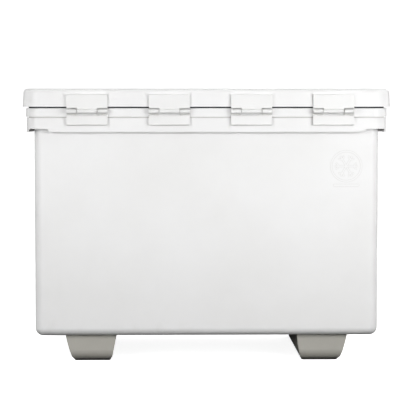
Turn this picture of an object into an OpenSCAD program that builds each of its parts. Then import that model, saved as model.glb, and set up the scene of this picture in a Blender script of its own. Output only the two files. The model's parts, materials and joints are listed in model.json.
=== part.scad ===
// Wheeled ice chest: insulated tub on two runners, hinged lid, front wheels and a fold-down tow bail.
// Units are mm. The origin is on the floor under the middle of the chest. +Z is up, the hinge side
// faces -Y and the tow bail and latches face +Y.

/* [Lid] */
// Lid length at its lower edge, along X
lid_l = 726; // [600:1:900]
// Lid width at its lower edge, along Y
lid_w = 515; // [400:1:650]
// Height of the lid's lower edge above the floor
lid_z0 = 508.6; // [350:0.1:600]
// Height of the lid's side
lid_h = 35.4; // [24:0.1:60]
// Corner radius of the lid in plan
lid_r = 32; // [15:1:60]
// How much each side leans in from bottom to top
lid_flare = 2; // [0:0.5:5]
// Radius of the lid's top edge
lid_edge_r = 8; // [2:0.5:11]
// Wall thickness of the lid shell
lid_t = 4; // [3:0.5:6]
// Depth of the shallow tray in the lid's top
lid_tray_d = 2; // [0:0.5:4]

/* [Rim collar] */
// Rim length of the upper band
rim_l = 713; // [600:1:880]
// Rim width of the upper band
rim_w = 502; // [390:1:640]
// Height of the rim's top face
rim_z1 = 505.9; // [350:0.1:600]
// Height of the step between the bands
rim_step_z = 488.8; // [340:0.1:580]
// Height of the skirt's lower edge
rim_z0 = 458.9; // [320:0.1:560]
// How far the lower band sits inside the upper one
rim_step = 1.25; // [0.5:0.05:3]
// Height of the fine groove under the upper band
groove_h = 2; // [0.5:0.1:3]
// Depth of that groove behind the lower band
groove_d = 3.5; // [0.5:0.1:5]
// Corner radius of the rim in plan
rim_r = 28; // [12:1:50]
// Gap between the skirt and the tub wall
skirt_gap = 6; // [3:0.5:15]
// How much shorter the skirt is at the corners
relief_h = 6.2; // [0:0.1:12]
// Distance from the rim's end to the start of the corner relief
relief_l = 42; // [20:1:80]
// Length of full-height skirt left at each corner
relief_end = 6; // [3:0.5:15]

/* [Tub] */
// Tub length along X
body_l = 681; // [550:1:860]
// Tub width along Y
body_w = 470; // [350:1:620]
// Height of the tub's underside above the floor
body_z0 = 54.4; // [30:0.1:90]
// Radius of the upright corners and of the bottom edge
body_r = 16; // [8:0.5:30]
// Thickness of the outer shell
shell_t = 4; // [2.5:0.5:6]

/* [Liner] */
// Cavity length
cav_l = 570; // [400:1:760]
// Cavity width
cav_w = 380; // [250:1:520]
// Height of the cavity floor
cav_z0 = 97.4; // [70:0.1:140]
// Cavity corner radius in plan
cav_r = 30; // [15:1:60]
// Radius along the cavity's floor edge
cav_edge_r = 17; // [5:1:29]
// Liner thickness
liner_t = 3; // [2:0.5:5]

/* [Runners] */
// Distance of a runner's centre from the middle, at its top
runner_x = 231; // [150:1:280]
// Runner width where it meets the tub
runner_top_w = 100; // [60:1:130]
// Runner width at the floor
runner_foot_w = 75.6; // [40:0.1:110]
// How much the foot is set towards the middle
runner_lean = 3; // [0:0.5:10]
// Hinge-side end of the runner
runner_y0 = -213; // [-230:1:-100]
// Front end of the runner
runner_y1 = 160; // [50:1:165]
// Radius of a runner's lower edge at the hinge-side end
nose_r = 22; // [5:1:40]
// Radius of a runner's lower edge at the front end
heel_r = 6; // [3:1:20]
// Thickness of the rubber pad under each runner
pad_t = 2.5; // [2:0.5:6]

/* [Hinges] */
// Position of the first hinge
hinge_x0 = -235; // [-300:1:-150]
// Distance from one hinge to the next
hinge_pitch = 161; // [100:1:220]
// Hinge width
hinge_w = 80; // [50:1:110]
// Width of the lid leaf's centre knuckle
knuckle_w = 39; // [20:1:60]
// Outer radius of the knuckles
knuckle_r = 4.3; // [3.5:0.1:8]
// Radius of the hinge pin
hinge_pin_r = 2; // [1.5:0.1:3]

/* [Wheels] */
// Outside radius of the tyre
tyre_r = 56; // [40:1:70]
// Outside radius of the hub
hub_r = 45; // [30:1:60]
// Wheel position along Y
wheel_y = 178; // [150:1:200]
// Axle radius
axle_r = 5; // [4:0.5:8]
// Space round the wheel in its arch
arch_gap = 6; // [4:0.5:12]

/* [Tow bail] */
// Distance of each bail arm from the middle
bail_x = 150; // [100:1:200]
// Height of the bail's pivot
bail_z = 430; // [350:1:440]
// Length of the bail arms
bail_len = 290; // [180:1:320]
// Radius of the bail tube
bail_tube_r = 8; // [6:0.5:10]
// Radius of the hand grip
grip_r = 14; // [12:0.5:17]

/* [Latches] */
// Distance of each latch from the middle
latch_x = 240; // [190:1:290]
// Width of the rubber strap
strap_w = 32; // [20:1:50]

/* [Drain] */
// Position of the drain along X
drain_x = 205; // [170:1:260]
// Height of the drain
drain_z = 108; // [106:1:116]
// Radius of the drain hole
drain_r = 12.5; // [8:0.5:16]

/* [Hidden] */
$fn = 64;
fit = 0.05;
cut = 1;
half_depth = 267;
hinge_y = -(half_depth - knuckle_r);
hinge_z = rim_z1 - 6.4;
hinge_gap = 1.4;
leaf_top = lid_z0 + 24.7;
leaf_face = hinge_y - 0.8;
tub_leaf_z0 = rim_z0 + 13.4;
tub_leaf_z1 = rim_step_z + 2.9;
tub_leaf_face = hinge_y + 5.2;
peg_r = 3;
peg_x = hinge_w / 2 - 15;
tub_front = body_w / 2;
skirt_front = rim_w / 2 - rim_step;
skirt_in_l = body_l + 2 * skirt_gap;
skirt_in_w = body_w + 2 * skirt_gap;
lip_l = cav_l + 30;
lip_w = cav_w + 30;
lip_t = 3;
plug_h = 8;
gasket_w = 10;
gasket_in = 5;
arch_r = tyre_r + arch_gap;
arch_x0 = body_l / 2 - 44.5;
wheel_x0 = arch_x0 + 4;
wheel_w = 30;
axle_end = body_l / 2 - 2.5;
channel_w = 14;
channel_h = 8.6;
hold_w = 116;
hold_d = 21;
hold_z0 = 405;
hold_z1 = 483;
screw_ys = [-170, -25, 120];
sump_l = 30;
sump_r = drain_r + 9.5;
bail_y = half_depth - grip_r;
eye_r = 12;
eye_w = 17;
ear_t = 5;
ear_x = eye_w / 2 + 0.4;
ear_out = ear_x + ear_t;
bail_pin_r = 4;
strap_y = lid_w / 2 + 4.4;
ear_r = 5.1;
strap_z = lid_z0 + 17;
strap_l = 76;
latch_pin_r = 2;
runner_z0 = pad_t;
screw_r = 2.2;

// Points along an arc in the section plane
function arc_points(cx, cz, r, a0, a1, n) =
    [for (i = [0:n]) let(a = a0 + (a1 - a0) * i / n) [cx + r * cos(a), cz + r * sin(a)]];

// Cross-section of a block's side, from the corner's centre line outwards
module side_section(r, h, low_r, top_r, flare) {
    if (flare > 0) {
        lean = atan(flare / h);
        arc_x = r - flare * (h - top_r) / h - top_r / cos(lean);
        polygon(concat([[0, 0], [r, 0]], arc_points(arc_x, h - top_r, top_r, lean, 90, 7), [[0, h]]));
    } else difference() {
        square([r, h]);
        if (low_r > 0) translate([r - low_r, 0]) difference() {
            translate([0, -cut]) square([low_r + cut, low_r + cut]);
            translate([0, low_r]) circle(r = low_r);
        }
        if (top_r > 0) translate([r - top_r, h - top_r]) difference() {
            square([top_r + cut, top_r + cut]);
            circle(r = top_r);
        }
    }
}

// Block with rounded upright corners, and rounded or leaning edges where asked
module block(l, w, z0, z1, r, low_r = 0, top_r = 0, flare = 0) {
    h = z1 - z0;
    translate([0, 0, z0]) {
        translate([r - l / 2, r - w / 2, 0]) cube([l - 2 * r, w - 2 * r, h]);
        for (k = [0:3]) {
            a = k % 2 == 0 ? l : w;
            b = k % 2 == 0 ? w : l;
            rotate([0, 0, 90 * k]) translate([a / 2 - r, b / 2 - r, 0]) {
                rotate_extrude(angle = 90) side_section(r, h, low_r, top_r, flare);
                rotate([90, 0, 0]) linear_extrude(height = b - 2 * r)
                    side_section(r, h, low_r, top_r, flare);
            }
        }
    }
}

// Round bars along X and along Y, from one end to the other
module bar_x(x0, x1, y, z, r) translate([x0, y, z]) rotate([0, 90, 0]) cylinder(h = x1 - x0, r = r);
module bar_y(y0, y1, x, z, r) translate([x, y0, z]) rotate([-90, 0, 0]) cylinder(h = y1 - y0, r = r);
module span(p, q) translate(p) cube(q - p);

module both_sides() for (s = [-1, 1]) scale_x(s) children();
module scale_x(s) { if (s > 0) children(); else mirror([1, 0, 0]) children(); }
module each_hinge() for (i = [0:3]) translate([hinge_x0 + i * hinge_pitch, 0, 0]) children();

// Solids shared by several pieces
module lid_outer() block(lid_l, lid_w, lid_z0, lid_z0 + lid_h, lid_r, 0, lid_edge_r, lid_flare);
module lid_void(top) block(lid_l - 2 * lid_t - lid_flare, lid_w - 2 * lid_t - lid_flare,
                           lid_z0 - cut, top, lid_r - lid_t);
module rim_outer() {
    block(rim_l, rim_w, rim_step_z, rim_z1, rim_r, 0, 2);
    neck = 2 * (rim_step + groove_d);
    block(rim_l - neck, rim_w - neck, rim_step_z - groove_h, rim_step_z, rim_r - neck / 2);
    block(rim_l - 2 * rim_step, rim_w - 2 * rim_step, rim_z0, rim_step_z - groove_h, rim_r - rim_step);
}
module liner_outer(top) {
    block(cav_l + 2 * liner_t, cav_w + 2 * liner_t, cav_z0 - liner_t, top,
          cav_r + liner_t, cav_edge_r + liner_t);
    bar_y(cav_w / 2 - sump_l - liner_t, cav_w / 2 + liner_t, drain_x, drain_z, sump_r + liner_t);
}
module cavity() {
    block(cav_l, cav_w, cav_z0, rim_z1 + cut, cav_r, cav_edge_r);
    bar_y(cav_w / 2 - sump_l, cav_w / 2, drain_x, drain_z, sump_r);
}
module lip(extra) block(lip_l + extra, lip_w + extra, rim_z1 - lip_t, rim_z1, cav_r + 15);

// Wheel arches, hand recesses and the axle channel, grown by t
module tub_recesses(t) {
    both_sides() {
        bar_x(arch_x0 - t, body_l / 2 + cut, wheel_y, tyre_r, arch_r + t);
        span([arch_x0 - t, wheel_y - arch_r - t, body_z0 - cut], [body_l / 2 + cut, tub_front + cut, tyre_r]);
        span([body_l / 2 - hold_d - t, -hold_w / 2 - t, hold_z0 - t],
             [body_l / 2 + cut, hold_w / 2 + t, hold_z1 + t]);
    }
    span([-arch_x0, wheel_y - channel_w / 2 - t, body_z0 - cut],
         [arch_x0, wheel_y + channel_w / 2 + t, body_z0 + channel_h + t]);
}
module tub_void() difference() {
    block(body_l - 2 * shell_t, body_w - 2 * shell_t, body_z0 + shell_t, rim_step_z,
          body_r - shell_t, body_r - shell_t);
    tub_recesses(shell_t);
}

// Holes that fasteners and the drain make in the tub's layers
module tub_holes() {
    bar_y(cav_w / 2 - cut, tub_front + cut, drain_x, drain_z, drain_r + 4.5);
    both_sides() for (y = screw_ys) translate([runner_x - 3, y, body_z0 - cut])
        cylinder(h = 16, r = screw_r);
    bail_screw_bars(tub_front - 14, tub_front + cut, screw_r);
    bar_x(-arch_x0 - cut, arch_x0 + cut, wheel_y, tyre_r, axle_r);
}

// Tub ---------------------------------------------------------------------------------------
module outer_tub() color("white") {
    difference() {
        block(body_l, body_w, body_z0, rim_step_z, body_r, body_r);
        tub_recesses(0);
        tub_void();
        tub_holes();
    }
    crystal_mark();
}

// Plain raised ring with a six-armed crystal over a plain bar, on the hinge side
module crystal_mark() translate([276, -body_w / 2 + 0.2, 391]) rotate([90, 0, 0]) {
    linear_extrude(height = 1) {
        difference() { circle(r = 31); circle(r = 28.4); }
        for (a = [0:60:120]) rotate(a) square([45, 2.4], center = true);
        for (a = [0:60:300]) rotate(a) translate([15, 0]) for (b = [-50, 50])
            rotate(b) translate([0, -1]) square([8, 2]);
        translate([-25, -40]) square([50, 4]);
    }
}

module tub_foam() color("khaki") difference() {
    tub_void();
    liner_outer(rim_step_z + cut);
    tub_holes();
}

module inner_liner() color("whitesmoke") difference() {
    union() {
        liner_outer(rim_z1 - lip_t);
        lip(0);
    }
    cavity();
    bar_y(cav_w / 2 - cut, cav_w / 2 + liner_t + cut, drain_x, drain_z, drain_r + 4.5);
}

module relief_cut() {
    l = relief_l + 7 - relief_end;
    linear_extrude(height = 60)
        polygon([[-cut, -cut], [l, -cut], [l, relief_h], [7, relief_h], [0, 0]]);
}

module rim_collar() color("white") difference() {
    rim_outer();
    block(skirt_in_l, skirt_in_w, rim_z0 - cut, rim_step_z, rim_r - 6);
    liner_outer(rim_z1 + cut);
    lip(0);
    for (s = [0, 1]) mirror([0, s, 0]) both_sides()
        translate([rim_l / 2 - relief_l - 7, rim_w / 2 + 10, rim_z0]) rotate([90, 0, 0]) relief_cut();
    each_hinge() for (s = [-1, 1])
        bar_y(-rim_w / 2, -skirt_in_w / 2 - 2, s * peg_x, tub_leaf_z0 + 8, peg_r);
    keeper_screw_bars(skirt_in_w / 2, skirt_front + cut, screw_r);
}

// Runners -----------------------------------------------------------------------------------
function side_curve(t) = 6 * t * (1 - t);
function runner_side(x0, x1, s) = [for (i = [1:8]) let(t = i / 8)
    [x0 + (x1 - x0) * t + s * side_curve(t), runner_z0 + (body_z0 - runner_z0) * t]];
foot_in = runner_x - runner_lean - runner_foot_w / 2;
foot_out = runner_x - runner_lean + runner_foot_w / 2;
top_in = runner_x - runner_top_w / 2;
top_out = runner_x + runner_top_w / 2;
foot_r = 4;
pad_y0 = runner_y0 + nose_r - 2;
pad_y1 = runner_y1 - heel_r;
runner_outline = concat(
    arc_points(foot_out - foot_r, runner_z0 + foot_r, foot_r, -90, -10, 5),
    runner_side(foot_out, top_out, 1),
    [for (i = [7:-1:0]) runner_side(foot_in, top_in, -1)[i]],
    arc_points(foot_in + foot_r, runner_z0 + foot_r, foot_r, -170, -90, 5));

// Side view of a runner, with its long nose and short heel
module runner_profile() {
    l = runner_y1 - runner_y0;
    difference() {
        square([l, body_z0 - runner_z0]);
        difference() {
            translate([-cut, -cut]) square([nose_r + cut, nose_r + cut]);
            translate([nose_r, nose_r]) circle(r = nose_r);
        }
        difference() {
            translate([l - heel_r, -cut]) square([heel_r + cut, heel_r + cut]);
            translate([l - heel_r, heel_r]) circle(r = heel_r);
        }
    }
}

module runner_right() color("darkgray") difference() {
    intersection() {
        translate([0, runner_y1, 0]) rotate([90, 0, 0]) linear_extrude(height = runner_y1 - runner_y0)
            polygon(runner_outline);
        translate([0, runner_y0, runner_z0]) rotate([90, 0, 90]) linear_extrude(height = body_l / 2)
            runner_profile();
    }
    for (y = screw_ys) translate([runner_x - 3, y, 0]) {
        translate([0, 0, -cut]) cylinder(h = 30 + cut, r = 7);
        cylinder(h = body_z0 + cut, r = screw_r);
    }
}
module runner_left() mirror([1, 0, 0]) runner_right();

module runner_pads() color("dimgray") both_sides()
    translate([(foot_in + foot_out) / 2, (pad_y0 + pad_y1) / 2, 0])
        block(runner_foot_w - foot_r, pad_y1 - pad_y0, 0, pad_t, 6);

module runner_screws() color("silver") both_sides() for (y = screw_ys)
    translate([runner_x - 3, y, 0]) {
        translate([0, 0, 26]) cylinder(h = 4, r = 6);
        translate([0, 0, 30]) cylinder(h = 38, r = screw_r);
    }

// Hinges ------------------------------------------------------------------------------------
module leaf_plate(y0, y1, z0, z1, edge) rotate([90, 0, 90]) translate([0, 0, -hinge_w / 2])
    linear_extrude(height = hinge_w)
        polygon([[y1, z0], [y0 + edge, z0], [y0, z0 + edge], [y0, z1 - edge], [y0 + edge, z1], [y1, z1]]);

module hinge_tub_leaf(i) color("white") translate([hinge_x0 + i * hinge_pitch, 0, 0]) {
    difference() {
        union() {
            leaf_plate(tub_leaf_face, -skirt_front + 3, tub_leaf_z0, tub_leaf_z1, 1.2);
            both_sides() span([knuckle_w / 2 + hinge_gap, tub_leaf_face + 3.2, tub_leaf_z1 - cut],
                              [hinge_w / 2, -skirt_front, hinge_z + knuckle_r]);
            both_sides() span([knuckle_w / 2 + hinge_gap, hinge_y, hinge_z - knuckle_r],
                              [hinge_w / 2, -skirt_front, hinge_z + knuckle_r]);
            both_sides() bar_x(knuckle_w / 2 + hinge_gap, hinge_w / 2, hinge_y, hinge_z, knuckle_r);
        }
        rim_block_behind();
        bar_x(-hinge_w, hinge_w, hinge_y, hinge_z, hinge_pin_r);
    }
    for (s = [-1, 1])
        bar_y(-skirt_front - cut, -skirt_in_w / 2 - 2, s * peg_x, tub_leaf_z0 + 8, peg_r);
}
// The flat rim faces that a tub leaf seats on
module rim_block_behind() {
    span([-hinge_w, -rim_w / 2, rim_step_z], [hinge_w, 0, rim_z1]);
    span([-hinge_w, -skirt_front, rim_z0], [hinge_w, 0, rim_step_z]);
}

module hinge_lid_leaf(i) color("white") translate([hinge_x0 + i * hinge_pitch, 0, 0]) {
    difference() {
        union() {
            leaf_plate(leaf_face, -lid_w / 2 + 4, hinge_z + knuckle_r + hinge_gap, leaf_top, 1.2);
            span([-knuckle_w / 2, leaf_face, hinge_z], [knuckle_w / 2, -lid_w / 2, hinge_z + knuckle_r + 3]);
            bar_x(-knuckle_w / 2, knuckle_w / 2, hinge_y, hinge_z, knuckle_r);
        }
        translate([-hinge_x0 - i * hinge_pitch, 0, 0]) lid_outer();
        bar_x(-hinge_w, hinge_w, hinge_y, hinge_z, hinge_pin_r + fit);
    }
    for (s = [-1, 1]) bar_y(-lid_w / 2 - cut, -lid_w / 2 + 7, s * peg_x, lid_z0 + 12, peg_r);
}

module hinge_pins() color("silver") each_hinge()
    bar_x(-hinge_w / 2 + 1, hinge_w / 2 - 1, hinge_y, hinge_z, hinge_pin_r);

// Lid ---------------------------------------------------------------------------------------
module lid_shell() color("white") difference() {
    lid_outer();
    lid_void(lid_z0 + lid_h - lid_t - lid_tray_d);
    block(lid_l - 96, lid_w - 96, lid_z0 + lid_h - lid_tray_d, lid_z0 + lid_h + cut, 18);
    lid_holes();
}
module lid_holes() {
    each_hinge() for (s = [-1, 1]) bar_y(-lid_w / 2 - cut, -lid_w / 2 + 7, s * peg_x, lid_z0 + 12, peg_r);
    latch_screw_bars(lid_w / 2 - 10, lid_w / 2 + cut, screw_r);
}
module lid_foam() color("khaki") difference() {
    intersection() {
        lid_void(lid_z0 + lid_h - lid_t - lid_tray_d);
        span([-lid_l, -lid_w, lid_z0 + 3], [lid_l, lid_w, lid_z0 + lid_h]);
    }
    lid_holes();
}
module lid_liner() color("whitesmoke") {
    intersection() {
        lid_void(lid_z0 + 3);
        span([-lid_l, -lid_w, lid_z0], [lid_l, lid_w, lid_z0 + 3]);
    }
    block(cav_l - 10, cav_w - 10, lid_z0 - plug_h, lid_z0 + 1, cav_r - 5, 4);
}
module lid_gasket() color("dimgray") difference() {
    gasket_l = rim_l - 2 * gasket_in;
    gasket_d = rim_w - 2 * gasket_in;
    block(gasket_l, gasket_d, rim_z1 + 0.3, lid_z0, rim_r - gasket_in);
    block(gasket_l - 2 * gasket_w, gasket_d - 2 * gasket_w, rim_z1, lid_z0 + cut, 6);
}

// Latches -----------------------------------------------------------------------------------
module latch_screw_bars(y0, y1, r) both_sides() for (s = [-1, 1])
    bar_y(y0, y1, latch_x + s * 27.3, lid_z0 + 15, r);
module latch_bracket_right() color("white") difference() {
    union() {
        span([latch_x - 33, lid_w / 2 - 3, lid_z0 + 6], [latch_x + 33, lid_w / 2 + 1.6, lid_z0 + 25]);
        for (s = [-1, 1]) {
            x0 = latch_x + s * (strap_w / 2 + 0.4 + 3) - 3;
            bar_x(x0, x0 + 6, strap_y, strap_z, ear_r);
            span([x0, lid_w / 2, strap_z - ear_r], [x0 + 6, strap_y, strap_z + ear_r]);
        }
    }
    lid_outer();
    span([latch_x - strap_w / 2 - 0.4, lid_w / 2 + 0.1, strap_z - 9],
         [latch_x + strap_w / 2 + 0.4, strap_y + 6, strap_z + 5.4]);
    bar_x(latch_x - 30, latch_x + 30, strap_y, strap_z, latch_pin_r);
    latch_screw_bars(lid_w / 2 - 10, lid_w / 2 + 8, screw_r);
}
module latch_bracket_left() mirror([1, 0, 0]) latch_bracket_right();
module latch_bracket_screws() color("silver") {
    latch_screw_bars(lid_w / 2 - 10, lid_w / 2 + 1.6, screw_r);
    latch_screw_bars(lid_w / 2 + 1.6, lid_w / 2 + 3.2, 3.6);
}
module latch_pins() color("silver") both_sides()
    bar_x(latch_x - strap_w / 2 - 6, latch_x + strap_w / 2 + 6, strap_y, strap_z, latch_pin_r);

module latch_strap_right() color("darkgray") difference() {
    union() {
        bar_x(latch_x - strap_w / 2, latch_x + strap_w / 2, strap_y, strap_z, 4.3);
        span([latch_x - strap_w / 2, strap_y - 2.5, strap_z - strap_l],
             [latch_x + strap_w / 2, strap_y + 2.5, strap_z]);
        bar_x(latch_x - 27, latch_x + 27, strap_y, strap_z - strap_l, 4.6);
    }
    bar_x(latch_x - 30, latch_x + 30, strap_y, strap_z, latch_pin_r + fit);
}
module latch_strap_left() mirror([1, 0, 0]) latch_strap_right();

module keeper_screw_bars(y0, y1, r) both_sides() for (s = [-1, 1])
    bar_y(y0, y1, latch_x + s * 24, rim_z0 + 19, r);
module latch_keeper_right() color("white") difference() {
    span([latch_x - 30, skirt_front, rim_z0 + 12], [latch_x + 30, skirt_front + 6, rim_z0 + 26]);
    span([latch_x - strap_w / 2 - 1, skirt_front + 2, rim_z0], [latch_x + strap_w / 2 + 1, skirt_front + 9, rim_z1]);
    bar_x(latch_x - 40, latch_x + 40, skirt_front + 6, rim_z0 + 11, 3);
    keeper_screw_bars(skirt_in_w / 2, skirt_front + 9, screw_r);
}
module latch_keeper_left() mirror([1, 0, 0]) latch_keeper_right();
module keeper_screws() color("silver") {
    keeper_screw_bars(skirt_in_w / 2 + 1, skirt_front + 6, screw_r);
    keeper_screw_bars(skirt_front + 6, skirt_front + 7.6, 3.6);
}

// Tow bail ----------------------------------------------------------------------------------
bail_foot_z = bail_z - bail_len;
bend_r = 34;
module bail_frame() color("gray") {
    both_sides() {
        difference() {
            union() {
                bar_x(bail_x - eye_w / 2, bail_x + eye_w / 2, bail_y, bail_z, eye_r);
                translate([bail_x, bail_y, bail_foot_z + bend_r])
                    cylinder(h = bail_len - bend_r, r = bail_tube_r);
            }
            bar_x(bail_x - 20, bail_x + 20, bail_y, bail_z, bail_pin_r + fit);
        }
        translate([bail_x - bend_r, bail_y, bail_foot_z + bend_r]) rotate([90, 0, 0])
            rotate([0, 0, -90]) rotate_extrude(angle = 90) translate([bend_r, 0]) circle(r = bail_tube_r);
    }
    bar_x(-bail_x + bend_r, bail_x - bend_r, bail_y, bail_foot_z, bail_tube_r);
}
module bail_grip() color("dimgray") difference() {
    union() {
        bar_x(-72, 72, bail_y, bail_foot_z, grip_r - 1.2);
        for (i = [-4:4]) bar_x(i * 15 - 5.5, i * 15 + 5.5, bail_y, bail_foot_z, grip_r);
    }
    bar_x(-80, 80, bail_y, bail_foot_z, bail_tube_r);
}
module bail_screw_bars(y0, y1, r) both_sides() for (s = [-1, 1], t = [-1, 1])
    bar_y(y0, y1, bail_x + s * 22, bail_z - 4 + t * 18, r);
module bail_bracket_right() color("gray") difference() {
    union() {
        translate([bail_x, tub_front, bail_z - 4]) rotate([-90, 0, 0]) block(60, 52, 0, 4, 9);
        for (s = [-1, 1]) {
            x0 = bail_x + s * (ear_x + ear_t / 2) - ear_t / 2;
            bar_x(x0, x0 + ear_t, bail_y, bail_z, eye_r - 1);
            span([x0, tub_front + 1, bail_z - eye_r + 1], [x0 + ear_t, bail_y, bail_z + eye_r - 1]);
        }
    }
    bar_x(bail_x - 30, bail_x + 30, bail_y, bail_z, bail_pin_r);
    bail_screw_bars(tub_front - cut, tub_front + 8, screw_r);
}
module bail_bracket_left() mirror([1, 0, 0]) bail_bracket_right();
module bail_bracket_screws() color("silver") {
    bail_screw_bars(tub_front - 14, tub_front + 4, screw_r);
    bail_screw_bars(tub_front + 4, tub_front + 6, 4);
}
module bail_pins() color("silver") both_sides() {
    bar_x(bail_x - ear_out, bail_x + ear_out, bail_y, bail_z, bail_pin_r);
    bar_x(bail_x - ear_out - 3, bail_x - ear_out, bail_y, bail_z, 6);
    bar_x(bail_x + ear_out, bail_x + ear_out + 3, bail_y, bail_z, 6);
}

// Wheels ------------------------------------------------------------------------------------
module axle() color("silver") bar_x(-axle_end, axle_end, wheel_y, tyre_r, axle_r);
module axle_caps() color("dimgray") both_sides() difference() {
    bar_x(wheel_x0 + wheel_w + 3.5, body_l / 2 - 0.2, wheel_y, tyre_r, 11);
    bar_x(wheel_x0, axle_end, wheel_y, tyre_r, axle_r);
}
module tyre_right() color("black") translate([wheel_x0, wheel_y, tyre_r]) rotate([0, 90, 0])
    rotate_extrude() polygon([[hub_r, 2], [tyre_r - 3, 1], [tyre_r - 0.8, 3], [tyre_r, 7],
        [tyre_r, 10], [tyre_r - 2, 10.8], [tyre_r - 2, 12.2], [tyre_r, 13], [tyre_r, 17],
        [tyre_r - 2, 17.8], [tyre_r - 2, 19.2], [tyre_r, 20], [tyre_r, 23], [tyre_r - 0.8, 27],
        [tyre_r - 3, 29], [hub_r, 28]]);
module tyre_left() mirror([1, 0, 0]) tyre_right();
module wheel_hub_right() color("gainsboro") translate([wheel_x0, wheel_y, tyre_r]) rotate([0, 90, 0])
    difference() {
        union() {
            difference() {
                translate([0, 0, 2]) cylinder(h = wheel_w - 4, r = hub_r);
                translate([0, 0, 1]) cylinder(h = wheel_w, r = hub_r - 5);
            }
            translate([0, 0, 12]) cylinder(h = 5, r = hub_r - 3);
            translate([0, 0, -1]) cylinder(h = wheel_w + 3.5, r = 11.5);
            for (a = [0:60:300]) rotate(a) translate([6, -2, 4]) cube([hub_r - 9, 4, wheel_w - 7]);
        }
        translate([0, 0, -5]) cylinder(h = wheel_w + 10, r = axle_r + fit);
        for (a = [30:60:330]) rotate(a) translate([26, 0, 0]) cylinder(h = wheel_w, r = 7);
    }
module wheel_hub_left() mirror([1, 0, 0]) wheel_hub_right();

// Drain -------------------------------------------------------------------------------------
module drain_bushing() color("dimgray") difference() {
    union() {
        bar_y(cav_w / 2 - 8, tub_front, drain_x, drain_z, drain_r + 4.5);
        bar_y(tub_front + 1.5, tub_front + 5, drain_x, drain_z, drain_r + 11);
        bar_y(tub_front - cut, tub_front + 2, drain_x, drain_z, drain_r + 4.5);
    }
    bar_y(cav_w / 2 - 10, tub_front + 10, drain_x, drain_z, drain_r);
}
module drain_washer() color("black") difference() {
    bar_y(tub_front, tub_front + 1.5, drain_x, drain_z, drain_r + 9.5);
    bar_y(tub_front - cut, tub_front + 3, drain_x, drain_z, drain_r + 4.5);
}
module drain_nut() color("dimgray") difference() {
    translate([drain_x, cav_w / 2, drain_z]) rotate([90, 0, 0])
        cylinder(h = 6, r = drain_r + 4.5 + 4, $fn = 6);
    bar_y(cav_w / 2 - 10, cav_w / 2 + cut, drain_x, drain_z, drain_r + 4.5);
}
module drain_plug() color("dimgray") difference() {
    union() {
        bar_y(cav_w / 2 - 4, tub_front + 5.3, drain_x, drain_z, drain_r - fit);
        bar_y(tub_front + 5.3, tub_front + 12, drain_x, drain_z, drain_r + 7);
        bar_y(tub_front + 12, tub_front + 26, drain_x, drain_z, 7);
        bar_y(tub_front + 23, tub_front + 29, drain_x, drain_z, 12);
    }
    translate([drain_x, cav_w / 2 - 4 + 6, drain_z]) rotate([-90, 0, 0]) difference() {
        cylinder(h = 3, r = drain_r + 2);
        translate([0, 0, -cut]) cylinder(h = 5, r = drain_r - 2);
    }
}
module drain_plug_ring() color("black") translate([drain_x, cav_w / 2 - 4 + 6, drain_z])
    rotate([-90, 0, 0]) difference() {
        cylinder(h = 3, r = drain_r - fit);
        translate([0, 0, -cut]) cylinder(h = 5, r = drain_r - 2);
    }

HINGE_NODES = [for (i = [1:4]) str("hinge_tub_leaf_", i), for (i = [1:4]) str("hinge_lid_leaf_", i)];

outer_tub();
tub_foam();
inner_liner();
rim_collar();
runner_left();
runner_right();
runner_pads();
runner_screws();
for (i = [1:4]) {
    hinge_tub_leaf(i - 1);
    hinge_lid_leaf(i - 1);
}
hinge_pins();
lid_shell();
lid_foam();
lid_liner();
lid_gasket();
latch_bracket_left();
latch_bracket_right();
latch_bracket_screws();
latch_pins();
latch_strap_left();
latch_strap_right();
latch_keeper_left();
latch_keeper_right();
keeper_screws();
bail_frame();
bail_grip();
bail_bracket_left();
bail_bracket_right();
bail_bracket_screws();
bail_pins();
axle();
axle_caps();
tyre_left();
tyre_right();
wheel_hub_left();
wheel_hub_right();
drain_bushing();
drain_washer();
drain_nut();
drain_plug();
drain_plug_ring();
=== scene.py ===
import json
import math

import bmesh
import bpy
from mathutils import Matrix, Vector


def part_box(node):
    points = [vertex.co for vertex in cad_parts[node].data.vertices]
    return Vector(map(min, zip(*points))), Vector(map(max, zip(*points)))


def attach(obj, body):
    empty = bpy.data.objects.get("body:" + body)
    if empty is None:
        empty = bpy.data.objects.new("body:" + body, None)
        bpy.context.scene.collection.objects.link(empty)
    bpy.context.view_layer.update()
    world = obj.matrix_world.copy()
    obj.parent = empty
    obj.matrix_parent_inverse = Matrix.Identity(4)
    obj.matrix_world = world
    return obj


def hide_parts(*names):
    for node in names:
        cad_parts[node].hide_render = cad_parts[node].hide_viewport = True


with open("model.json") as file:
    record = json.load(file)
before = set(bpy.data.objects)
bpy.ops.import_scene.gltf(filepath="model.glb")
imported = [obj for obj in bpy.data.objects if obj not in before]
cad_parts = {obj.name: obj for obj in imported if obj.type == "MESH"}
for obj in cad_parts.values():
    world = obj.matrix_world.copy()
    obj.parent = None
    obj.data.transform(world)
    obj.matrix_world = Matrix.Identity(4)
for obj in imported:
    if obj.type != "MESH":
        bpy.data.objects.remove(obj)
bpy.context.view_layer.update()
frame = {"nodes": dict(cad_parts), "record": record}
nodes = frame["nodes"]
MM = 0.001


def in_scene(name, data):
    """A new object in the scene for a mesh, a light or a camera."""
    obj = bpy.data.objects.new(name, data)
    bpy.context.scene.collection.objects.link(obj)
    return obj


# ------------------------------------------------------------------ node helpers
def material(name):
    """A new material with its node tree and its one Principled shader."""
    mat = bpy.data.materials.new(name)
    mat.use_nodes = True
    tree = mat.node_tree
    tree.nodes.clear()
    out = tree.nodes.new("ShaderNodeOutputMaterial")
    bsdf = tree.nodes.new("ShaderNodeBsdfPrincipled")
    tree.links.new(bsdf.outputs["BSDF"], out.inputs["Surface"])
    return mat, tree, bsdf


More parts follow.
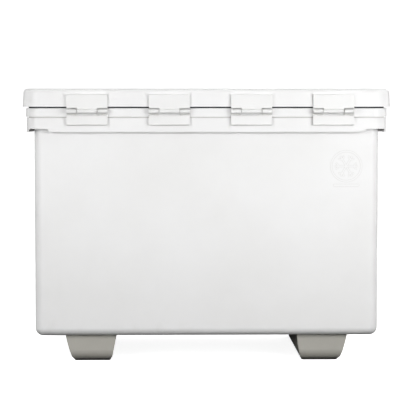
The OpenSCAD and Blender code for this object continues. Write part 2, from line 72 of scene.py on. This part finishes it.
def put(tree, kind, **settings):
    """A new shader node; settings are its properties, not its sockets."""
    node = tree.nodes.new("ShaderNode" + kind)
    for key, value in settings.items():
        setattr(node, key, value)
    return node


def link(tree, source, target):
    tree.links.new(source, target)


def place(tree, scale=(1.0, 1.0, 1.0), rotation=(0.0, 0.0, 0.0)):
    """Object coordinates, which are the shared frame in metres, stretched and turned."""
    coords = put(tree, "TexCoord")
    mapping = put(tree, "Mapping")
    mapping.inputs["Scale"].default_value = scale
    mapping.inputs["Rotation"].default_value = rotation
    link(tree, coords.outputs["Object"], mapping.inputs["Vector"])
    return mapping.outputs["Vector"]


def noise(tree, vector, scale, detail, rough):
    node = put(tree, "TexNoise")
    node.inputs["Scale"].default_value = scale
    node.inputs["Detail"].default_value = detail
    node.inputs["Roughness"].default_value = rough
    link(tree, vector, node.inputs["Vector"])
    return node.outputs["Fac"]


def remap(tree, value, low, high, to_low, to_high):
    node = put(tree, "MapRange", clamp=True)
    node.inputs["From Min"].default_value = low
    node.inputs["From Max"].default_value = high
    node.inputs["To Min"].default_value = to_low
    node.inputs["To Max"].default_value = to_high
    link(tree, value, node.inputs["Value"])
    return node.outputs["Result"]


def maths(tree, op, a, b):
    node = put(tree, "Math", operation=op)
    for i, value in enumerate((a, b)):
        if isinstance(value, (int, float)):
            node.inputs[i].default_value = value
        else:
            link(tree, value, node.inputs[i])
    return node.outputs["Value"]


def blend_colour(tree, amount, low, high):
    """Goes from the colour low to the colour high as amount goes from 0 to 1."""
    node = put(tree, "MixRGB")
    for key, value in (("Fac", amount), ("Color1", low), ("Color2", high)):
        if isinstance(value, tuple):
            node.inputs[key].default_value = (*value, 1.0)
        else:
            link(tree, value, node.inputs[key])
    return node.outputs["Color"]


def bump(tree, bsdf, layers):
    """layers: (height, strength, distance in metres), the finest last."""
    normal = None
    for height, strength, distance in layers:
        node = put(tree, "Bump")
        node.inputs["Strength"].default_value = strength
        node.inputs["Distance"].default_value = distance
        link(tree, height, node.inputs["Height"])
        if normal is not None:
            link(tree, normal, node.inputs["Normal"])
        normal = node.outputs["Normal"]
    link(tree, normal, bsdf.inputs["Normal"])


def height_of(tree):
    """Height above the floor, in metres."""
    coords = put(tree, "TexCoord")
    split = put(tree, "SeparateXYZ")
    link(tree, coords.outputs["Object"], split.inputs["Vector"])
    return split.outputs["Z"]


def painted_crease_shade(tree, reach, most, own_shape_only):
    """Painted shade: rises to most in grooves and inner corners, where the shape closes off the light;
    neighbouring pieces count only if asked.
    """
    opening = put(tree, "AmbientOcclusion", samples=8, only_local=own_shape_only)
    opening.inputs["Distance"].default_value = reach
    return remap(tree, opening.outputs["AO"], 0.45, 0.95, most, 0.0)


# ------------------------------------------------------------------ materials
# colour and reach of the painted shade that darkens grooves and inner corners
CREASE_SHADE_COLOUR = (0.40, 0.39, 0.36)
CREASE_SHADE_REACH = 4 * MM
GRIME_FULL_BELOW = 50 * MM


def moulded_plastic(name, base, dusty, rough=(0.38, 0.52), pebble=0.12, grime_top=0.12, wave=0.25,
                    crease_shade=0.0, own_shape_only=True):
    """Moulded polyolefin: fine pebble grain, slow waviness, scuffs, painted shade darkening the
    creases, and a little grime that fades out at the height grime_top, if one is given."""
    mat, tree, bsdf = material(name)
    flat = place(tree)
    cloud = noise(tree, flat, 5.0, 4.0, 0.6)
    grain = noise(tree, flat, 950.0, 2.0, 0.55)
    slow = noise(tree, flat, 9.0, 1.0, 0.4)
    scratch = noise(tree, place(tree, (14.0, 14.0, 420.0), (0.25, 0.4, 0.0)), 3.0, 2.0, 0.7)
    scuffs = remap(tree, scratch, 0.62, 0.82, 0.0, 1.0)
    patches = remap(tree, noise(tree, flat, 13.0, 3.0, 0.6), 0.55, 0.72, 0.0, 1.0)
    scuffs = maths(tree, "MULTIPLY", scuffs, patches)
    grime = 0.0
    if grime_top:
        low = remap(tree, height_of(tree), GRIME_FULL_BELOW, grime_top, 1.0, 0.0)
        specks = remap(tree, noise(tree, flat, 38.0, 5.0, 0.65), 0.42, 0.7, 0.0, 0.55)
        grime = maths(tree, "MULTIPLY", low, specks)
    tint = remap(tree, cloud, 0.35, 0.7, 0.0, 0.35)
    mix = maths(tree, "MAXIMUM", tint, maths(tree, "MULTIPLY", scuffs, 0.4))
    colour = blend_colour(tree, maths(tree, "MAXIMUM", mix, grime), base, dusty)
    # painted shade: ambient occlusion darkens grooves and inner corners towards a dark grey
    if crease_shade:
        dust_and_shade = painted_crease_shade(tree, CREASE_SHADE_REACH, crease_shade, own_shape_only)
        colour = blend_colour(tree, dust_and_shade, colour, CREASE_SHADE_COLOUR)
    link(tree, colour, bsdf.inputs["Base Color"])
    shine = remap(tree, noise(tree, flat, 55.0, 4.0, 0.6), 0.3, 0.7, *rough)
    worn = maths(tree, "MAXIMUM", scuffs, grime)
    shine = maths(tree, "ADD", shine, maths(tree, "MULTIPLY", worn, 0.22))
    link(tree, shine, bsdf.inputs["Roughness"])
    bsdf.inputs["Specular IOR Level"].default_value = 0.45
    bump(tree, bsdf, [(slow, wave, 0.0012), (scuffs, 0.25, 0.00012), (grain, pebble, 0.0004)])
    return mat


def rubber(name, base, worn, grain_scale=1400.0, rough=(0.62, 0.85), dust_and_shade=0.5):
    """Matte rubber with a fine grain, greyed in broad patches."""
    mat, tree, bsdf = material(name)
    flat = place(tree)
    fine = noise(tree, flat, grain_scale, 3.0, 0.6)
    broad = noise(tree, flat, 24.0, 5.0, 0.65)
    wear = remap(tree, broad, 0.45, 0.72, 0.0, dust_and_shade)
    link(tree, blend_colour(tree, wear, base, worn), bsdf.inputs["Base Color"])
    link(tree, remap(tree, broad, 0.3, 0.7, *rough), bsdf.inputs["Roughness"])
    bsdf.inputs["Specular IOR Level"].default_value = 0.35
    bump(tree, bsdf, [(broad, 0.12, 0.0006), (fine, 0.3, 0.00025)])
    return mat


def brushed_metal(name, base, dark, stretch, rough=(0.24, 0.42)):
    """Metal with fine lines along one axis: stretch is the noise scale along X, Y and Z."""
    mat, tree, bsdf = material(name)
    lines = noise(tree, place(tree, stretch), 1.0, 4.0, 0.7)
    flat = place(tree)
    spots = noise(tree, flat, 70.0, 4.0, 0.7)
    stain = remap(tree, spots, 0.5, 0.75, 0.0, 0.45)
    link(tree, blend_colour(tree, stain, base, dark), bsdf.inputs["Base Color"])
    bsdf.inputs["Metallic"].default_value = 1.0
    shine = remap(tree, lines, 0.3, 0.7, *rough)
    shine = maths(tree, "ADD", shine, maths(tree, "MULTIPLY", stain, 0.25))
    link(tree, shine, bsdf.inputs["Roughness"])
    bump(tree, bsdf, [(spots, 0.06, 0.0003), (lines, 0.1, 0.00008)])
    return mat


def foam_material(name):
    """Yellowed rigid foam with open cells."""
    mat, tree, bsdf = material(name)
    flat = place(tree)
    cells = put(tree, "TexVoronoi")
    cells.inputs["Scale"].default_value = 700.0
    link(tree, flat, cells.inputs["Vector"])
    cloud = noise(tree, flat, 30.0, 4.0, 0.6)
    colour = blend_colour(tree, cloud, (0.80, 0.70, 0.42), (0.68, 0.56, 0.30))
    link(tree, colour, bsdf.inputs["Base Color"])
    link(tree, remap(tree, cloud, 0.2, 0.8, 0.8, 0.95), bsdf.inputs["Roughness"])
    bump(tree, bsdf, [(cloud, 0.4, 0.002), (cells.outputs["Distance"], 0.5, 0.0006)])
    return mat


def deck_texture(mat, top, size):
    """Adds a small raised non-slip grain to upward faces above the given height."""
    tree = mat.node_tree
    bsdf = next(n for n in tree.nodes if n.type == "BSDF_PRINCIPLED")
    normal_in = bsdf.inputs["Normal"].links[0].from_socket
    cells = put(tree, "TexVoronoi")
    cells.inputs["Scale"].default_value = 1.0 / size
    link(tree, place(tree), cells.inputs["Vector"])
    dots = remap(tree, cells.outputs["Distance"], 0.18, 0.42, 1.0, 0.0)
    geometry = put(tree, "NewGeometry")
    split = put(tree, "SeparateXYZ")
    link(tree, geometry.outputs["Normal"], split.inputs["Vector"])
    up = remap(tree, split.outputs["Z"], 0.9, 0.98, 0.0, 1.0)
    high = remap(tree, height_of(tree), top - MM, top, 0.0, 1.0)
    dots = maths(tree, "MULTIPLY", dots, maths(tree, "MULTIPLY", up, high))
    node = put(tree, "Bump")
    node.inputs["Strength"].default_value = 0.35
    node.inputs["Distance"].default_value = 0.0005
    link(tree, dots, node.inputs["Height"])
    link(tree, normal_in, node.inputs["Normal"])
    link(tree, node.outputs["Normal"], bsdf.inputs["Normal"])


WHITE = (0.80, 0.80, 0.80)
DUSTY = (0.70, 0.695, 0.68)
LID_DECK_Z = 541.5 * MM
GRIP_DOT_PITCH = 2.6 * MM
# the white pieces get painted shade in their grooves and inner corners; the fittings also darken where
# neighbouring pieces close them in
shell = moulded_plastic("shell_white_plastic", WHITE, DUSTY, crease_shade=0.52)
lid_skin = moulded_plastic("lid_white_plastic", WHITE, DUSTY, crease_shade=0.52)
deck_texture(lid_skin, LID_DECK_Z, GRIP_DOT_PITCH)
liner = moulded_plastic("liner_white_plastic", (0.82, 0.82, 0.81), (0.785, 0.785, 0.77),
                        rough=(0.28, 0.36), pebble=0.05, grime_top=0.10, wave=0.05)
fitting = moulded_plastic("fitting_white_plastic", (0.78, 0.78, 0.775), (0.69, 0.685, 0.67),
                          rough=(0.34, 0.48), pebble=0.09, crease_shade=0.55, own_shape_only=False)
runner = moulded_plastic("runner_grey_plastic", (0.43, 0.417, 0.377), (0.31, 0.30, 0.27),
                         rough=(0.5, 0.68), pebble=0.3, grime_top=None)
grey = moulded_plastic("fitting_grey_plastic", (0.20, 0.198, 0.192), (0.27, 0.265, 0.25),
                       rough=(0.42, 0.58), pebble=0.2, grime_top=None)
pad = rubber("pad_rubber", (0.035, 0.034, 0.032), (0.11, 0.105, 0.095))
seal = rubber("seal_rubber", (0.03, 0.03, 0.032), (0.06, 0.06, 0.06), 1800.0, (0.5, 0.7), 0.3)
strap = rubber("strap_rubber", (0.045, 0.047, 0.05), (0.10, 0.10, 0.10), 1600.0, (0.45, 0.62), 0.35)
tread = rubber("tyre_rubber", (0.022, 0.022, 0.023), (0.10, 0.095, 0.085), 900.0, (0.7, 0.9), 0.6)
steel = brushed_metal("plated_steel", (0.62, 0.62, 0.61), (0.40, 0.38, 0.35), (60.0, 1500.0, 1500.0))
tube = brushed_metal("anodised_tube", (0.68, 0.69, 0.70), (0.50, 0.50, 0.49), (900.0, 900.0, 40.0),
                     rough=(0.3, 0.42))
foam = foam_material("rigid_foam")

FINISH = {
    "shell_white": shell, "liner_white": liner, "foam": foam, "runner_grey": runner, "dark_rubber": seal,
    "fitting_white": fitting, "steel": steel, "strap_rubber": strap, "tyre_black": tread,
    "fitting_grey": grey, "bail_metal": tube,
}
SPECIAL = {"lid_shell": lid_skin, "runner_pads": pad}
slot_of = {s["node"]: s["material_slot"] for s in frame["record"]["subparts"]}

# ------------------------------------------------------------------ CAD pieces
SAME_POINT = 0.01 * MM
EDGE_RADIUS = 0.6 * MM
MOULDED_EDGE_RADIUS = 1.2 * MM
LARGE_MOULDINGS = ("outer_tub", "rim_collar", "lid_shell")
SEALED_INSIDE = ("tub_foam", "lid_foam", "runner_screws")


def soften_edges(node, radius):
    """Rounds the sharp edges a little and evens the shading of the flat faces."""
    weld = node.modifiers.new("weld", "WELD")
    weld.merge_threshold = SAME_POINT
    bevel = node.modifiers.new("soft_edges", "BEVEL")
    bevel.width = radius
    bevel.segments = 2
    bevel.limit_method = "ANGLE"
    bevel.angle_limit = math.radians(40)
    normals = node.modifiers.new("even_normals", "WEIGHTED_NORMAL")
    normals.keep_sharp = False
    normals.weight = 100


for name, node in nodes.items():
    node.data.materials.clear()
    node.data.materials.append(SPECIAL.get(name, FINISH[slot_of[name]]))
    if name not in SEALED_INSIDE:
        soften_edges(node, MOULDED_EDGE_RADIUS if name in LARGE_MOULDINGS else EDGE_RADIUS)

# ------------------------------------------------------------------ pieces built here
SHARP_EDGE = math.radians(38)


def islands(node_name):
    """Lowest and highest corner of each separate solid in a CAD node."""
    bm = bmesh.new()
    bm.from_mesh(nodes[node_name].data)
    bmesh.ops.remove_doubles(bm, verts=bm.verts, dist=SAME_POINT)
    left = set(bm.verts)
    boxes = []
    while left:
        group, front = set(), [left.pop()]
        while front:
            vert = front.pop()
            group.add(vert)
            for edge in vert.link_edges:
                other = edge.other_vert(vert)
                if other in left:
                    left.remove(other)
                    front.append(other)
        axes = list(zip(*(v.co for v in group)))
        boxes.append((Vector(map(min, axes)), Vector(map(max, axes))))
    bm.free()
    return sorted(boxes, key=lambda box: tuple(box[0]))


def skin(bm, rings, closed=False):
    """Joins rings of points with quads; the ends are fans, or the last ring meets the first."""
    loops = [[bm.verts.new(point) for point in ring] for ring in rings]
    count = len(loops[0])
    pairs = list(zip(loops, loops[1:])) + ([(loops[-1], loops[0])] if closed else [])
    for near, far in pairs:
        for i in range(count):
            j = (i + 1) % count
            bm.faces.new((near[i], near[j], far[j], far[i]))
    if not closed:
        for loop in (loops[0], loops[-1]):
            centre = bm.verts.new(sum((v.co for v in loop), Vector()) / count)
            for i in range(count):
                bm.faces.new((loop[i], loop[(i + 1) % count], centre))


def outward_mesh(bm, name):
    """Turns the faces outwards and ends the bmesh as a mesh."""
    bmesh.ops.recalc_face_normals(bm, faces=bm.faces)
    mesh = bpy.data.meshes.new(name)
    bm.to_mesh(mesh)
    bm.free()
    return mesh


def finished_mesh(bm, name):
    """Shades the faces smooth and keeps the sharp edges sharp."""
    bmesh.ops.recalc_face_normals(bm, faces=bm.faces)
    for face in bm.faces:
        face.smooth = True
    for edge in bm.edges:
        edge.smooth = edge.calc_face_angle(0.0) < SHARP_EDGE
    return outward_mesh(bm, name)


def add_piece(name, mesh, body, slot, replaced):
    """Puts a piece on its body, in place of the CAD node that it replaces."""
    piece = in_scene(name, mesh)
    mesh.materials.clear()
    mesh.materials.append(FINISH[slot])
    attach(piece, body)
    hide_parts(replaced)


def turned_ring(centre, radius, height, steps=48):
    """A ring in the XZ plane, height along +Y; radius is a number or a function of the angle."""
    points = []
    for i in range(steps):
        a = 2 * math.pi * i / steps
        r = radius(a) if callable(radius) else radius
        points.append(centre + Vector((r * math.cos(a), height, r * math.sin(a))))
    return points


def cross_recess(arm, half_width):
    """Radius of a plus-shaped recess at an angle."""
    def radius(a):
        off = abs((a + math.pi / 4) % (math.pi / 2) - math.pi / 4)
        side = half_width / math.sin(off) if off > 0.01 else arm * 2
        return min(arm / math.cos(off), side)
    return radius


def pan_screws(name, node, body, shank_r, head_h):
    """Pan-head screws with a cross recess, on the places of a node's screws; their heads face +Y."""
    bm = bmesh.new()
    for low, high in islands(node):
        foot = Vector(((low.x + high.x) / 2, low.y, (low.z + high.z) / 2))
        head_r = (high.x - low.x) / 2
        top = high.y - low.y
        seat = top - head_h
        recess = cross_recess(head_r * 0.55, head_r * 0.13)
        recess_floor = cross_recess(head_r * 0.45, head_r * 0.1)
        rings = [(shank_r * 0.7, 0.0), (shank_r, shank_r * 0.6), (shank_r, seat), (head_r * 0.97, seat),
                 (head_r, seat + head_h * 0.2), (head_r * 0.97, seat + head_h * 0.55),
                 (head_r * 0.86, seat + head_h * 0.84), (head_r * 0.68, top), (recess, top),
                 (recess_floor, top - head_h * 0.6)]
        skin(bm, [turned_ring(foot, r, h) for r, h in rings])
    add_piece(name, finished_mesh(bm, name), body, "steel", node)


SCREW_R = 2.2 * MM
SMALL_HEAD_H = 1.6 * MM
LARGE_HEAD_H = 2.0 * MM
pan_screws("bail_bracket_pan_screws", "bail_bracket_screws", "tub", SCREW_R, LARGE_HEAD_H)
pan_screws("keeper_pan_screws", "keeper_screws", "tub", SCREW_R, SMALL_HEAD_H)
pan_screws("latch_bracket_pan_screws", "latch_bracket_screws", "lid", SCREW_R, SMALL_HEAD_H)


def treaded_tyre(side):
    """A solid rubber tyre with three ribs; lateral grooves cut its two shoulders into blocks."""
    low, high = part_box("tyre_" + side)
    centre = (low + high) / 2
    outer, half = (high.z - low.z) / 2, (high.x - low.x) / 2
    groove = 2 * MM
    # (inset from the tread's radius, inset from the sidewall, share of a lateral groove's depth)
    flank = [(11.0, 2.0, 0), (9.8, 1.1, 0), (8.8, 0.8, 0), (8.4, 1.3, 0), (7.8, 1.3, 0),
             (7.4, 0.7, 0), (5.2, 0.25, 0), (3.2, 0.05, 0), (2.2, 0.4, 0.1), (1.2, 1.4, 0.5),
             (0.6, 2.6, 0.8), (0.25, 4.2, 1), (0.05, 5.8, 1), (0.0, 7.6, 1), (0.0, 9.5, 1)]
    half_section = [(outer - a * MM, half - b * MM, share) for a, b, share in flank]
    # the groove round the tyre, and the edge of its middle rib
    half_section += [(outer - groove, 4.1 * MM, 0), (outer - groove, 2.9 * MM, 0), (outer, 2.6 * MM, 0)]
    blocks = 24
    pitch = 2 * math.pi / blocks
    # share of a pitch, whether the left shoulder is cut there, whether the right one is
    cuts = [(0.0, 0, 0), (0.02, 1, 0), (0.14, 1, 0), (0.16, 0, 0), (0.33, 0, 0),
            (0.5, 0, 0), (0.52, 0, 1), (0.64, 0, 1), (0.66, 0, 0), (0.83, 0, 0)]
    rings = []
    for block in range(blocks):
        for share, left_cut, right_cut in cuts:
            a = (block + share) * pitch
            section = [(r - groove * depth * right_cut, x) for r, x, depth in half_section]
            section += [(r - groove * depth * left_cut, -x) for r, x, depth in reversed(half_section)]
            rings.append([centre + Vector((x, r * math.cos(a), r * math.sin(a))) for r, x in section])
    bm = bmesh.new()
    skin(bm, rings, closed=True)
    name = "treaded_tyre_" + side
    add_piece(name, finished_mesh(bm, name), "wheel_" + side, "tyre_black", "tyre_" + side)


treaded_tyre("left")
treaded_tyre("right")


def lobed(radius, count, depth):
    """Radius of a hand grip with shallow scallops round it."""
    return lambda a: radius * (1 - depth * (0.5 + 0.5 * math.cos(count * a)) ** 2)


def scalloped_plug():
    """The drain plug: a stem with its ring groove, a scalloped flange and a lobed knob."""
    low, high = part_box("drain_plug")
    centre = Vector(((low.x + high.x) / 2, low.y, (low.z + high.z) / 2))
    flange_r = (high.x - low.x) / 2
    length = high.y - low.y
    stem_r, neck_r, knob_r = 12.45 * MM, 6.6 * MM, 12.0 * MM
    flange = length - 23.7 * MM
    flange_top = flange + 6.7 * MM
    knob = length - 6 * MM
    rings = [(stem_r * 0.93, 0.0), (stem_r, 0.8 * MM), (stem_r, 6.0 * MM), (stem_r - 2 * MM, 6.05 * MM),
             (stem_r - 2 * MM, 8.95 * MM), (stem_r, 9.0 * MM), (stem_r, flange),
             (lobed(flange_r * 0.97, 14, 0.05), flange), (lobed(flange_r, 14, 0.06), flange + 0.8 * MM),
             (lobed(flange_r, 14, 0.06), flange_top - 1.4 * MM),
             (lobed(flange_r * 0.96, 14, 0.05), flange_top - 0.3 * MM),
             (lobed(flange_r * 0.9, 14, 0.03), flange_top), (flange_r * 0.8, flange_top),
             (flange_r * 0.76, flange_top - 1.2 * MM), (neck_r * 1.35, flange_top - 1.2 * MM),
             (neck_r * 1.08, flange_top - 0.2 * MM), (neck_r, flange_top + 2 * MM),
             (neck_r, knob - 2.5 * MM), (neck_r * 1.15, knob - 0.8 * MM),
             (lobed(knob_r * 0.86, 6, 0.1), knob), (lobed(knob_r, 6, 0.14), knob + 1.2 * MM),
             (lobed(knob_r, 6, 0.14), length - 1.4 * MM),
             (lobed(knob_r * 0.95, 6, 0.13), length - 0.4 * MM),
             (lobed(knob_r * 0.84, 6, 0.1), length), (knob_r * 0.5, length),
             (knob_r * 0.44, length - 0.8 * MM), (knob_r * 0.1, length - 0.9 * MM)]
    bm = bmesh.new()
    skin(bm, [turned_ring(centre, r, h, steps=168) for r, h in rings])
    name = "scalloped_drain_plug"
    add_piece(name, finished_mesh(bm, name), "drain_stopper", "fitting_grey", "drain_plug")


scalloped_plug()


def oval(centre, half_x, half_y, steps=40, power=4.0):
    """A rounded rectangle in the XY plane, or with power 2 an ellipse."""
    points = []
    for i in range(steps):
        a = 2 * math.pi * i / steps
        c, s = math.cos(a), math.sin(a)
        x = math.copysign(abs(c) ** (2 / power), c) * half_x
        y = math.copysign(abs(s) ** (2 / power), s) * half_y
        points.append(centre + Vector((x, y, 0.0)))
    return points


def ring_round_x(centre, radius, steps):
    """A circle in the YZ plane."""
    turns = [2 * math.pi * i / steps for i in range(steps)]
    return [centre + Vector((0.0, radius * math.cos(a), radius * math.sin(a))) for a in turns]


def bar_along_x(bm, centre, half_length, radius, steps=28):
    """A round bar with domed ends; radius is a function of the place along it."""
    stations = 44
    rings = []
    for i in range(stations + 1):
        t = -math.cos(math.pi * i / stations)
        x = t * half_length
        tip = max(0.0, (abs(x) - half_length + radius(x)) / radius(x))
        r = radius(x) * math.sqrt(max(0.0, 1 - tip * tip)) + 0.02 * MM
        rings.append(ring_round_x(centre + Vector((x, 0.0, 0.0)), r, steps))
    skin(bm, rings)


def baked(obj):
    """The mesh that an object's modifiers make of it."""
    graph = bpy.context.evaluated_depsgraph_get()
    return bpy.data.meshes.new_from_object(obj.evaluated_get(graph))


def moulded(bm, name, voxel, smoothing):
    """Fuses overlapping shells into one moulded skin with soft inner corners."""
    blank = in_scene(name + "_blank", outward_mesh(bm, name))
    fuse = blank.modifiers.new("fuse", "REMESH")
    fuse.mode = "VOXEL"
    fuse.voxel_size = voxel
    fuse.use_smooth_shade = True
    soften = blank.modifiers.new("soften", "SMOOTH")
    soften.factor = 0.5
    soften.iterations = smoothing
    result = baked(blank)
    bpy.data.objects.remove(blank)
    return result


def drilled(mesh, centre, radius, half_length):
    """Drills a round hole along X."""
    bm = bmesh.new()
    ends = [centre + Vector((x, 0.0, 0.0)) for x in (-half_length, half_length)]
    skin(bm, [ring_round_x(end, radius, 32) for end in ends])
    drill = in_scene("drill", outward_mesh(bm, "drill"))
    blank = in_scene("drill_blank", mesh)
    hole = blank.modifiers.new("hole", "BOOLEAN")
    hole.object = drill
    hole.operation = "DIFFERENCE"
    hole.solver = "EXACT"
    result = baked(blank)
    for obj in (drill, blank):
        bpy.data.objects.remove(obj)
    return result


def rubber_strap(side):
    """A moulded T-latch strap: waisted, with beaded edges, grip ribs and a lobed T handle."""
    low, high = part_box("latch_strap_" + side)
    pin_low, pin_high = next(b for b in islands("latch_pins") if (b[0].x > 0) == (low.x > 0))
    pin = (pin_low + pin_high) / 2
    eye_r = high.z - pin.z
    handle_r = 4.6 * MM
    handle = Vector((pin.x, pin.y, low.z + handle_r))
    reach = pin.z - handle.z
    top_half, waist_half, thick = 16 * MM, 12.6 * MM, 2.4 * MM
    rib_r, bead_r, pin_hole_r = 1.15 * MM, 1.2 * MM, 2.05 * MM

    def half_width(t):
        return waist_half + (top_half - waist_half) * (2 * t - 1) ** 2

    def on_strap(t, sideways=0.0):
        return Vector((pin.x + sideways, pin.y, handle.z + reach * t))

    bm = bmesh.new()
    stations = 30
    heights = [i / stations for i in range(stations + 1)]
    skin(bm, [oval(on_strap(t), half_width(t), thick) for t in heights])
    bar_along_x(bm, pin, top_half, lambda x: eye_r)
    bar_along_x(bm, handle, (high.x - low.x) / 2,
                lambda x: handle_r * (0.93 + 0.07 * math.cos(2 * math.pi * x / (18 * MM))))
    proud = Vector((0.0, thick - 0.2 * MM, 0.0))
    for t in (0.16, 0.24, 0.32, 0.40):
        bar_along_x(bm, on_strap(t) + proud, half_width(t) - 3 * MM, lambda x: rib_r, steps=16)
    for edge in (-1, 1):
        bead = [oval(on_strap(t, edge * (half_width(t) - bead_r)), bead_r, thick + 0.7 * MM, 16, 2.0)
                for t in (0.06 + 0.82 * share for share in heights)]
        skin(bm, bead)
    name = "rubber_latch_strap_" + side
    mesh = moulded(bm, name, voxel=0.6 * MM, smoothing=3)
    mesh = drilled(mesh, pin, pin_hole_r, top_half * 1.5)
    mesh.name = name
    add_piece(name, mesh, "latch_" + side, "strap_rubber", "latch_strap_" + side)


rubber_strap("left")
rubber_strap("right")

# ------------------------------------------------------------------ camera, light and floor
# A long lens on the hinge side, a little to the left of the middle and level with the lid
VIEW_DISTANCE = 3.3
REAR_FACE = -0.235
FOCUS = Vector((-0.0214, REAR_FACE, 0.3743))
EYE = Vector((-0.091, REAR_FACE - VIEW_DISTANCE, 0.522))
LENS = 144.75
FRAMING_SHIFT = (0.0289, -0.08)
camera_data = bpy.data.cameras.new("camera")
camera_data.sensor_width = 36.0
camera_data.lens = LENS
camera_data.shift_x, camera_data.shift_y = FRAMING_SHIFT
camera_data.clip_start, camera_data.clip_end = 0.05, 60.0
camera = in_scene("camera", camera_data)
camera.location = EYE
camera.rotation_mode = "QUATERNION"
camera.rotation_quaternion = (FOCUS - EYE).to_track_quat("-Z", "Y")
bpy.context.scene.camera = camera


def studio_world(top, bottom):
    """Dim fill light, brighter from above than from below."""
    world = bpy.data.worlds.new("studio")
    world.use_nodes = True
    tree = world.node_tree
    coords = put(tree, "TexCoord")
    split = put(tree, "SeparateXYZ")
    link(tree, coords.outputs["Generated"], split.inputs["Vector"])
    strength = remap(tree, split.outputs["Z"], 0.0, 0.5, bottom, top)
    link(tree, strength, tree.nodes["Background"].inputs["Strength"])
    tree.nodes["Background"].inputs["Color"].default_value = (1.0, 1.0, 1.0, 1.0)
    bpy.context.scene.world = world


def area_light(name, spot, aim, size, power, spread=180.0):
    """A soft light that the camera doesn't see; a small spread in degrees makes it a narrow beam."""
    data = bpy.data.lights.new(name, "AREA")
    data.shape = "RECTANGLE"
    data.size, data.size_y = size
    data.energy = power
    data.spread = math.radians(spread)
    light = in_scene(name, data)
    light.location = spot
    light.rotation_mode = "QUATERNION"
    light.rotation_quaternion = (Vector(aim) - Vector(spot)).to_track_quat("-Z", "Y")
    light.visible_camera = False


studio_world(top=0.34, bottom=0.02)
for side, sign, power in (("right", 1, 12.8), ("left", -1, 9.7)):
    area_light("softbox_" + side, (sign * 0.8, -1.4, 0.58), (sign * 0.12, -0.23, 0.42), (0.6, 0.7), power)
area_light("camera_fill", (0.2, -3.0, 0.45), (0.0, -0.2, 0.38), (1.2, 0.4), 0.31, spread=26.0)
for side, sign in (("right", 1), ("left", -1)):
    area_light("side_card_" + side, (sign * 1.9, 0.12, 0.8), (sign * 0.35, 0.0, 0.3), (0.7, 0.8), 9.5)
area_light("overhead", (0.0, 0.45, 2.1), (0.0, 0.35, 0.5), (1.4, 0.8), 5.0)
area_light("front_fill", (0.7, 2.3, 1.1), (0.0, 0.2, 0.3), (1.2, 0.9), 43.0)


def stage_surface(obj, name, glow):
    """A white surface that the camera sees, and that throws no light on the object."""
    mat, tree, bsdf = material(name)
    bsdf.inputs["Base Color"].default_value = (0.85, 0.85, 0.85, 1.0)
    bsdf.inputs["Roughness"].default_value = 0.9
    bsdf.inputs["Specular IOR Level"].default_value = 0.0
    bsdf.inputs["Emission Color"].default_value = (1.0, 1.0, 1.0, 1.0)
    bsdf.inputs["Emission Strength"].default_value = glow
    obj.data.materials.append(mat)
    obj.visible_diffuse = False
    obj.visible_glossy = False


bpy.ops.mesh.primitive_plane_add(size=40.0)
floor = bpy.context.object
floor.name = "studio_floor"
stage_surface(floor, "floor_white", glow=0.9)
bpy.ops.mesh.primitive_uv_sphere_add(segments=48, ring_count=24, radius=18.0)
dome = bpy.context.object
dome.name = "studio_backdrop"
dome.visible_shadow = False
stage_surface(dome, "backdrop_white", glow=1.0)

# plain colours, so that the floor and the backdrop come out white as in the photo
bpy.context.scene.view_settings.view_transform = "Standard"
